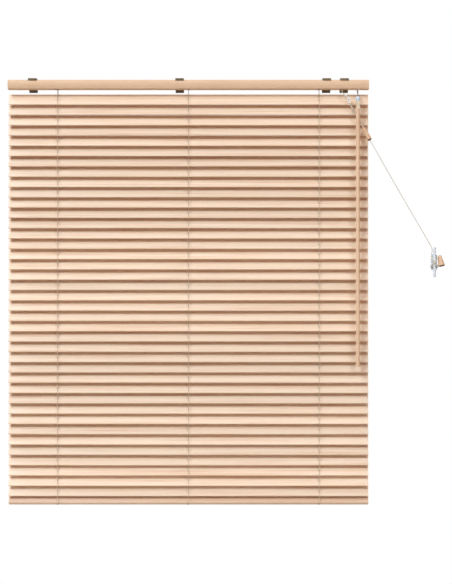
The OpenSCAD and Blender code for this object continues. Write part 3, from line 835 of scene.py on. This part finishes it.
def make_ladders():
    radius = STRING_D / 2
    front_top = FIRST_Z - STRING_DROP
    travel = 2 * STRING_DROP
    strings_piece(
        "front_strings", "front_ladders",
        [vertical(x, -STRING_Y, front_top, BASE_Z - STRING_DROP) for x in LADDERS],
        radius, "front_ladder_strings",
    )
    strings_piece(
        "back_strings", "back_ladders",
        [vertical(x, STRING_Y, ROD_Z, BASE_Z + STRING_DROP) for x in LADDERS],
        radius, "back_ladder_strings",
    )
    over = []
    for x in LADDERS:
        bend = [(x, y, z) for y, z in arc((0, ROD_Z), STRING_Y, 180, 0, 24)]
        over.append([(x, -STRING_Y, RAIL_BOTTOM)] + bend + [(x, STRING_Y, ROD_Z - travel)])
    strings_piece("top_strings", ROOT, over, radius * 0.9)
    slack = strings_piece(
        "slack_strings", ROOT,
        [vertical(x, -STRING_Y, RAIL_BOTTOM, front_top) for x in LADDERS], radius,
    )
    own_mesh(slack)
    for slat in SLATS:
        make_rungs(slat, slat)


def make_rail_strings():
    """The front strings bend round the bottom rail's lower edge and end there in dark knots."""
    edge = 0.0125
    lift = 0.0005
    bm = bmesh.new()
    knots = bmesh.new()
    shape = ((-STRING_REACH, 0.0004), (-STRING_REACH + 0.0006, -0.0012))
    shape += ((-edge - 0.0012, -0.0026), (-edge - lift, -0.0040), (-edge - lift, -0.0058))
    for x in LADDERS:
        pivot = Vector((x, 0, BASE_Z))
        add_tube(bm, [pivot + face_point(*p) for p in shape], STRING_D / 2, 10)
        lump = Matrix.Translation(pivot + face_point(-edge - 0.0007, -0.0040))
        bmesh.ops.create_icosphere(knots, subdivisions=3, radius=0.0015, matrix=lump)
    for v in knots.verts:
        v.co += 0.0002 * v.normal * math.sin(3000 * v.co.z + 2000 * v.co.x)
    piece("rail_strings", finished(bm, "rail_strings"), "bottom_rail", STRING, "cream_cord")
    piece("rail_knots", finished(knots, "rail_knots"), "bottom_rail", KNOT_AND_HOLE_SHADE, "brown_steel")


make_ladders()
make_rail_strings()

# ---- Lift cords ----

PULLEY = (0.3168, -0.016)
BEND_R = 0.00365
LOCK_Y = (-0.0092, -0.0056, -0.0074)
LANE_Y = (-0.0022, 0.0022, 0.0)
LANE_Z = -0.0199
FLOOR_TURN_X = 0.3061
FLOOR_TURN_R = 0.004
DROP_R = 0.0029


def lift_route(drop_x, lock_y, lane_y):
    """Out of the lock, round its pulley, along the floor and down into the bottom rail."""
    route = [(PULLEY[0] + BEND_R, lock_y, RAIL_BOTTOM)]
    route += [(x, lock_y, z) for x, z in arc(PULLEY, BEND_R, 0, 135, 5)]
    turn = arc((FLOOR_TURN_X, LANE_Z + FLOOR_TURN_R), FLOOR_TURN_R, 315, 270, 2)
    route += [(x, lock_y, z) for x, z in turn]
    route += [(0.301, lock_y + (lane_y - lock_y) * 0.05, LANE_Z)]
    route += [(0.292, (lock_y + lane_y) / 2, LANE_Z), (0.284, lane_y, LANE_Z)]
    if drop_x < LADDERS[-1]:
        route += [(drop_x + 0.040, lane_y, LANE_Z), (drop_x + 0.024, 0.0, LANE_Z)]
    turn = arc((drop_x + DROP_R, LANE_Z - DROP_R), DROP_R, 90, 180, 3)
    route += [(x, 0.0, z) for x, z in turn]
    return route + [(drop_x, 0.0, -0.040), (drop_x, 0.0, BASE_Z)]


for letter, drop_x, lock_y, lane_y in zip("abc", LADDERS, LOCK_Y, LANE_Y):
    route = lift_route(drop_x, lock_y, lane_y)
    name = "lift_cord_" + letter
    cotton = braid(name, length_of(route), *LIFT_CORD_SHADED_COLOURS)
    curve_cord(name, route, CORD_D, ROOT, cotton, "cream_cord", "lift_cords")

# ---- Wand ----


def make_wand():
    """The turned wooden wand."""
    low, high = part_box("wand")
    r = (high.x - low.x) / 2
    ease = 0.0016
    top_ease = 0.0005
    outline = [(0.0, high.z)] + arc((r - top_ease, high.z - top_ease), top_ease, 90, 0, 3)
    outline += arc((r - ease, low.z + ease), ease, 0, -90, 6) + [(0.0, low.z)]
    bm = lathe(outline, 40, Matrix.Translation((WAND_X, WAND_Y, 0)))
    mesh = finished(bm, "wand_piece")
    set_tone(mesh, 0.5)
    piece("wand_piece", mesh, "wand", WAND_WOOD, "wand_wood", "wand")


def make_connector():
    """The clear sleeve that grips the wand: a solid head, a thin skirt and a wire bail."""
    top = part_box("wand")[1].z + 0.0108
    low = -0.0635
    r = 0.0047
    skirt = 0.0045
    bore = 0.0042
    place = Matrix.Translation((WAND_X, WAND_Y, 0))
    outline = [(0.0, top)] + arc((r - 0.0031, top - 0.0036), 0.0034, 80, 10, 6)
    outline += [(r + 0.0002, top - 0.0052), (r, top - 0.0070), (r - 0.0006, top - 0.0088)]
    outline += [(skirt - 0.0012, top - 0.0102), (skirt - 0.0014, top - 0.0106), (0.0, top - 0.0106)]
    head = finished(lathe(outline, 48, place), "sleeve_head")
    piece("sleeve_head", head, "wand", FROSTED_PLASTIC, "clear_plastic", "wand_connector")
    outline = [(bore, top - 0.0109), (skirt, top - 0.0109), (skirt, low + 0.0003)]
    outline += [(skirt - 0.00015, low), (bore, low)]
    tube = finished(lathe(outline, 48, place), "sleeve_skirt")
    piece("sleeve_skirt", tube, "wand", GLASSY_PLASTIC, "clear_plastic")
    leg = 0.0033
    bend = 0.0012
    eye = -0.036
    foot = eye - 0.0055
    route = [(WAND_X - leg, WAND_Y, foot), (WAND_X - leg, WAND_Y, eye - bend)]
    route += [(WAND_X + x, WAND_Y, z) for x, z in arc((bend - leg, eye - bend), bend, 165, 90, 5)]
    route += [(WAND_X + x, WAND_Y, z) for x, z in arc((leg - bend, eye - bend), bend, 90, 15, 5)]
    route += [(WAND_X + leg, WAND_Y, eye - bend), (WAND_X + leg, WAND_Y, foot)]
    wire = bmesh.new()
    add_tube(wire, route, 0.0004, 12)
    piece("bail", finished(wire, "bail"), "wand", WIRE_STEEL, "plain_steel")


make_wand()
make_connector()

# ---- Light and floor ----


def make_lights():
    """Soft lamps: strong from the left, weaker from the right, one high and a weak one behind."""
    aim = Vector((0.0, 0.0, -0.45))
    away_by = 14
    # Degrees round from the front, degrees up, power and size.
    lamps = (
        ("left_lamp", -34, 42, 860, 4.4),
        ("right_lamp", 30, 38, 450, 5.0),
        ("high_lamp", -50, 58, 580, 5.6),
        ("back_lamp", 142, 12, 130, 5.0),
    )
    for name, side, height, power, size in lamps:
        data = bpy.data.lights.new(name, "AREA")
        data.shape = "DISK"
        data.size = size
        data.energy = power
        data.color = (0.95, 1.02, 1.1)
        lamp = bpy.data.objects.new(name, data)
        bpy.context.scene.collection.objects.link(lamp)
        a, e = math.radians(side), math.radians(height)
        away = Vector((math.sin(a) * math.cos(e), -math.cos(a) * math.cos(e), math.sin(e)))
        lamp.location = aim + away_by * away
        lamp.rotation_euler = away.to_track_quat("Z", "Y").to_euler()


def make_surround():
    """White behind the object, and a dimmer even light from all round."""
    world = bpy.data.worlds.new("surround")
    bpy.context.scene.world = world
    world.use_nodes = True
    nodes, links = world.node_tree.nodes, world.node_tree.links
    white = nodes["Background"]
    white.inputs["Color"].default_value = (1.0, 1.0, 1.0, 1.0)
    white.inputs["Strength"].default_value = 1.0
    dim = nodes.new("ShaderNodeBackground")
    dim.inputs["Color"].default_value = (1.0, 0.38, 0.21, 1.0)
    dim.inputs["Strength"].default_value = 0.29
    path = nodes.new("ShaderNodeLightPath")
    seen = nodes.new("ShaderNodeMath")
    seen.operation = "MAXIMUM"
    links.new(path.outputs["Is Camera Ray"], seen.inputs[0])
    links.new(path.outputs["Is Transmission Ray"], seen.inputs[1])
    mixed = nodes.new("ShaderNodeMixShader")
    links.new(seen.outputs[0], mixed.inputs["Fac"])
    links.new(dim.outputs[0], mixed.inputs[1])
    links.new(white.outputs[0], mixed.inputs[2])
    links.new(mixed.outputs[0], nodes["World Output"].inputs["Surface"])


def make_floor():
    """A pale floor well under the blind."""
    bm = bmesh.new()
    half = 3.0
    back = 1.0
    depth = -1.35
    corners = ((-half, -half), (half, -half), (half, back), (-half, back))
    bm.faces.new([bm.verts.new((x, y, depth)) for x, y in corners])
    mesh = finished(bm, "floor")
    made = Recipe("floor", 0.7)
    clouds = made.noise(made.place((1.5, 1.5, 1.5)), detail=2)
    made.colour(made.ramp(clouds, (0.3, (0.82, 0.89, 0.90)), (0.7, (0.86, 0.93, 0.94))))
    mesh.materials.append(made.material)
    floor = bpy.data.objects.new("floor", mesh)
    bpy.context.scene.collection.objects.link(floor)


make_lights()
make_surround()
make_floor()
bpy.context.scene.view_settings.view_transform = "Standard"
